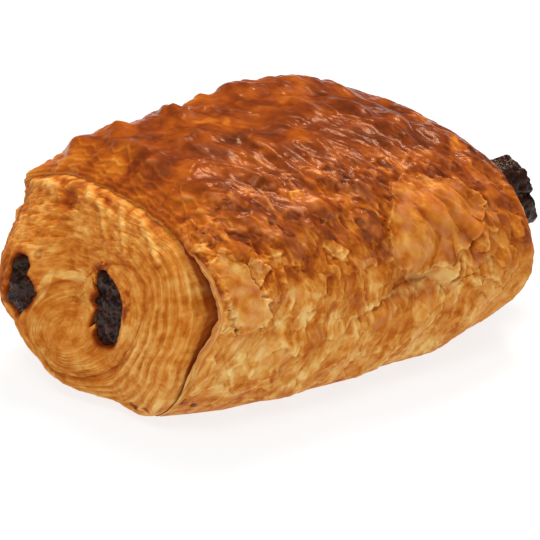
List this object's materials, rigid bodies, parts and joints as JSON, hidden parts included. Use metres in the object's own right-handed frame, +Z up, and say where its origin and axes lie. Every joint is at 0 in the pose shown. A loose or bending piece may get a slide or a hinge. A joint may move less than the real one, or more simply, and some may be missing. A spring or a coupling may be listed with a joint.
{
  "type": "pain au chocolat",
  "caption": "Baked roll of flaky laminated pastry with dark chocolate sticks running through it, resting on its flat underside.",
  "frame": {"origin": "bottom centre of the whole pastry's box, on the surface it rests on", "axes": "+X along the roll, towards the end where one chocolate stick stands out; +Z up; -Y towards the front side, the one with the torn ledge along its foot"},
  "size_m": [0.1204, 0.0764, 0.0525],
  "materials": {
    "pastry_crust": null,
    "chocolate": null
  },
  "bodies": {
    "root": {"pastry": "pastry_crust", "chocolate_stick_front": "chocolate", "chocolate_stick_back": "chocolate"}
  },
  "joints": []
}
